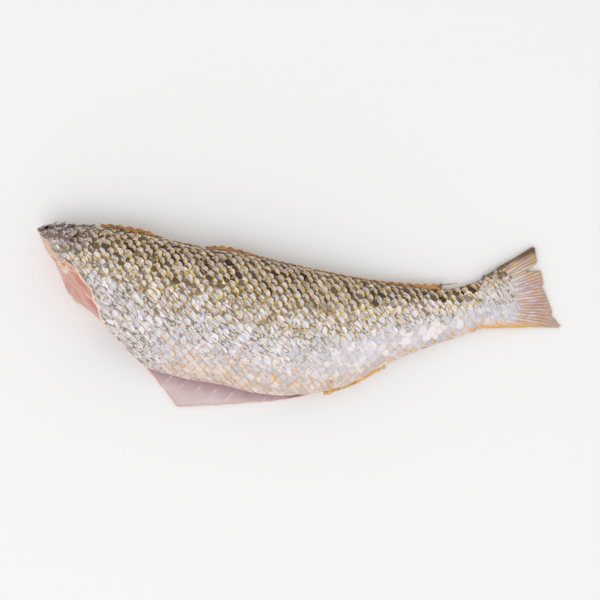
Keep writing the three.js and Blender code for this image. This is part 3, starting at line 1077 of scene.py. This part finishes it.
class FISH_OT_scales(bpy.types.Operator):
    """Lay the scales over both flanks, row by row from the back's ridge"""

    bl_idname = "fish.scales"
    bl_label = "Scales"

    # (size, where the rows start, where they stop) behind the head, on the flank and on the tail's root
    PASSES = (
        (0.66, -170 * MM, -122 * MM),
        (1.0, -170 * MM, 112 * MM),
        (0.56, 110 * MM, 146 * MM),
    )
    MOST_ROWS = 60
    STEP = 0.6 * MM
    FOOT_DEPTH = 0.3 * MM
    DOME = 0.12 * MM
    RUFFLED = 3.2 * MM

    def execute(self, context):
        self.settings = context.scene.raw_fish.scales
        under = [bpy.data.objects.get(name) for name in ("fish_trunk", "fish_tail_fin")]
        if None in under:
            raise RuntimeError("make the trunk and the tail fin first")
        self.hide = Hide(*under)
        material = scale_material(self.settings)
        self.pattern = scale_pattern()
        for name, side in (("left_flank_scales", 1), ("right_flank_scales", -1)):
            self.side = side
            self.chance = random.Random(self.settings.seed + side)
            self.bm = bmesh.new()
            self.bm.from_mesh(self.pattern)
            bmesh.ops.delete(self.bm, geom=list(self.bm.verts), context="VERTS")
            self.layers = {key: self.bm.verts.layers.float[key] for key in SCALE_VALUES}
            for size, start, stop in self.PASSES:
                self.cover(size, start, stop)
            self.bm.normal_update()
            bmesh.ops.recalc_face_normals(self.bm, faces=self.bm.faces)
            finish_piece(self.bm, name, material, "scaled_skin")
        bpy.data.meshes.remove(self.pattern)
        return {"FINISHED"}

    def cover(self, size, start, stop):
        """Rows of scales of that size between two places along the fish."""
        half = size * self.settings.pitch / 2
        for row in range(0 if self.side > 0 else 1, self.MOST_ROWS):
            distance = row * self.settings.row * size
            first = True
            for column in range(row % 2, int((stop - start) / half), 2):
                x = start + column * half
                if not self.place(x, distance, size):
                    continue
                if first and x < 0:
                    # One more scale fills the gap between the row's first and the cut.
                    for step in range(int(2 * half / self.STEP), 1, -1):
                        if self.place(x - step * self.STEP, distance, size):
                            break
                first = False

    def place(self, x, distance, size):
        """Lays a scale there, if scales of that size lie there."""
        distance += self.chance.gauss(0, 0.2 * MM)
        x += self.chance.gauss(0, 0.3 * MM)
        seat = self.hide.seat(x, self.side, max(distance, 0.0))
        if not seat or not self.scaled(seat[0], size):
            return False
        return self.lay(x, distance, seat, size)

    def scaled(self, point, size):
        """Whether scales of that size lie there: small ones behind the head and on the tail's root."""
        share = self.hide.outline.share(point)
        behind_head = point.x + 60 * MM * share < -124 * MM
        if point.x < 0 and (size < 1) != behind_head:
            return False
        end = mix(131 * MM, 141 * MM, math.sin(math.pi * clamp(share))) + self.chance.gauss(0, 1.5 * MM)
        if point.x > end or (point.xy - VENT.xy).length < 1.3 * VENT_SIZE:
            return False
        face = self.hide.tree.find_nearest(point)[2]
        return not self.hide.bare[face] and self.hide.rim[face] > 0.15 * ease(0.25, 0.6, share)

    def lay(self, x, distance, seat, scaling):
        """One scale on its seat, bent to the skin under it."""
        settings, chance = self.settings, self.chance
        point, normal = seat
        half = settings.pitch / 2
        ahead = self.hide.seat(x + half, self.side, distance) or seat
        behind = self.hide.seat(x - half, self.side, distance) or seat
        along = ahead[0] - behind[0]
        if along.length < 1e-6:
            return False
        along = (along - normal * along.dot(normal)).normalized()
        disorder = 0.13 + 0.2 * ease(-110 * MM, -150 * MM, point.x)
        along.rotate(Matrix.Rotation(chance.gauss(0, disorder), 3, normal))
        up_flank = normal.cross(along) * self.side
        if up_flank.y < 0 and abs(normal.y) < 0.9:
            up_flank = -up_flank
        size = scaling * chance.uniform(0.88, 1.12) * (1 - 0.4 * ease(122 * MM, 142 * MM, point.x))
        size *= mix(0.4, 1.0, ease(2 * MM, 9 * MM, (point.xy - VENT.xy).length))
        span = settings.pitch * settings.overlap / 2 * size
        width = settings.row * settings.breadth / 2 * size
        if not self.hide.holds(point + along * 0.4 * span):
            return False
        share = self.hide.outline.share(point)
        nape = ease(-112 * MM, -158 * MM, point.x) * ease(0.5, 0.2, share)
        root = ease(106 * MM, 120 * MM, point.x)
        lift = settings.lift * scaling * chance.uniform(0.6, 1.4)
        lift += chance.random() ** 3 * self.RUFFLED * nape
        lift *= (1 - 0.5 * root) * mix(1, 0.6, ease(0.6, 0.85, share))
        thickness = settings.thickness * (1 - 0.5 * root)
        marks = self.marks(point.x, share, nape, root)
        done = len(self.bm.verts)
        self.bm.from_mesh(self.pattern)
        self.bm.verts.ensure_lookup_table()
        for index in range(done, len(self.bm.verts)):
            vert = self.bm.verts[index]
            a, b, under = vert.co
            dome = max(1 - a * a - b * b, 0)
            spot = point + along * ((a + 0.25) * span) + up_flank * (b * width * (1 + 0.12 * a))
            ground, slope = self.hide.skin_tree.find_nearest(spot)[:2]
            height = mix(-self.FOOT_DEPTH, lift, (a + 1) / 2) + self.DOME * dome + under * thickness
            vert.co = ground + slope * height
            on_floor = 0.02 * MM + 0.08 * MM * (1 - a) - 0.14 * MM * under
            vert.co.z = max(vert.co.z, on_floor)
            for name, value in marks.items():
                vert[self.layers[name]] = value
        return True

    def marks(self, x, share, nape, root):
        """How strong each of a scale's marks is. Some of it is chance, so neighbours differ."""
        zone = share + 0.13 * ease(20 * MM, 80 * MM, x) * ease(0.1, 0.3, share)
        zone = min(zone, mix(1.0, 0.6, ease(-75 * MM, -105 * MM, x)))
        pale = 0.85 * ease(-15 * MM, 30 * MM, x) * ease(0.48, 0.62, share) * ease(0.93, 0.8, share)
        silvered = root * ease(0.1, 0.25, share) * ease(0.95, 0.8, share)
        fading = 0.6 * ease(-20 * MM, 70 * MM, x) * ease(0.15, 0.3, share)
        spot = (1 - 0.7 * root) * (1 - 0.8 * pale) * (1 - 0.3 * nape) * (1 - fading)
        warm = ease(0.86, 0.98, share) * (0.12 + 0.7 * ease(85 * MM, 125 * MM, x))
        return {
            "pale": pale,
            "flank": mix(zone, 0.53, silvered * 0.8),
            "shade": self.chance.random() - 0.4 * silvered,
            "spot": spot * self.chance.uniform(0.75, 1.0),
            "gloom": 0.13 * nape + 0.26 * root * ease(0.15, 0.0, share),
            "warm": warm * self.chance.uniform(0.4, 1.0),
        }


# ---------------------------------------------------------------- the stage


class FISH_OT_stage(bpy.types.Operator):
    """Set up the floor, the soft studio light and the camera overhead"""

    bl_idname = "fish.stage"
    bl_label = "Stage"

    FLOOR = 3
    KEY_SIZE = 1.8
    KEY_PLACE = Vector((-0.4, -0.75, 2.15))
    SENSOR_MM = 36
    MID_HEIGHT = 15 * MM

    def execute(self, context):
        settings = context.scene.raw_fish.stage
        self.floor(settings)
        self.lights(settings)
        self.camera(settings)
        context.scene.view_settings.view_transform = "Standard"
        return {"FINISHED"}

    def floor(self, settings):
        """A plain pale floor."""
        material, tree, shader = new_material("floor")
        connect(tree, shader, Base_Color=settings.floor, Roughness=0.9, Specular_IOR_Level=0.1)
        bm = bmesh.new()
        bmesh.ops.create_grid(bm, x_segments=1, y_segments=1, size=self.FLOOR)
        mesh = bpy.data.meshes.new("floor")
        bm.to_mesh(mesh)
        bm.free()
        mesh.materials.append(material)
        add_object("floor", mesh)

    def lights(self, settings):
        """An even sky and one large lamp."""
        world = bpy.data.worlds.new("studio")
        bpy.context.scene.world = world
        world.use_nodes = True
        sky = world.node_tree.nodes["Background"]
        connect(world.node_tree, sky, Strength=settings.sky, Color=(1, 1, 1, 1))
        lamp = bpy.data.lights.new("key", "AREA")
        lamp.shape = "DISK"
        lamp.size = self.KEY_SIZE
        lamp.energy = settings.key
        key = add_object("key", lamp)
        key.location = self.KEY_PLACE
        key.rotation_euler = (-self.KEY_PLACE).to_track_quat("-Z", "Y").to_euler()

    def camera(self, settings):
        """A camera straight above the fish."""
        eye = bpy.data.cameras.new("camera")
        eye.lens = settings.lens
        eye.sensor_width = self.SENSOR_MM
        camera = add_object("camera", eye)
        away = settings.field * settings.lens / self.SENSOR_MM
        camera.location = (0, settings.ahead, self.MID_HEIGHT + away)
        bpy.context.scene.camera = camera


# ---------------------------------------------------------------- add-on


class FISH_PT_panel(bpy.types.Panel):
    """The fish's operators and settings in the sidebar"""

    bl_label = "Raw Fish"
    bl_idname = "FISH_PT_panel"
    bl_space_type = "VIEW_3D"
    bl_region_type = "UI"
    bl_category = "Raw Fish"

    def draw(self, context):
        """A button for each operator, and each group's settings in a box."""
        layout = self.layout
        for operator in OPERATORS:
            layout.operator(operator.bl_idname)
        settings = context.scene.raw_fish
        for group in (settings.trunk, settings.scales, settings.fins, settings.stage):
            box = layout.box()
            for name in group.bl_rna.properties.keys():
                if name not in ("rna_type", "name"):
                    box.prop(group, name)


OPERATORS = (FISH_OT_trunk, FISH_OT_tail_fin, FISH_OT_stubs, FISH_OT_scales, FISH_OT_stage)
CLASSES = (
    FishTrunkSettings,
    FishScaleSettings,
    FishFinSettings,
    FishStageSettings,
    FishSettings,
    *OPERATORS,
    FISH_PT_panel,
)


def register():
    for item in CLASSES:
        bpy.utils.register_class(item)
    bpy.types.Scene.raw_fish = PointerProperty(type=FishSettings)


def unregister():
    del bpy.types.Scene.raw_fish
    for item in reversed(CLASSES):
        bpy.utils.unregister_class(item)


def main():
    register()
    bpy.ops.fish.trunk()
    bpy.ops.fish.tail_fin()
    bpy.ops.fish.stubs()
    bpy.ops.fish.scales()
    bpy.ops.fish.stage()


if __name__ == "__main__":
    main()
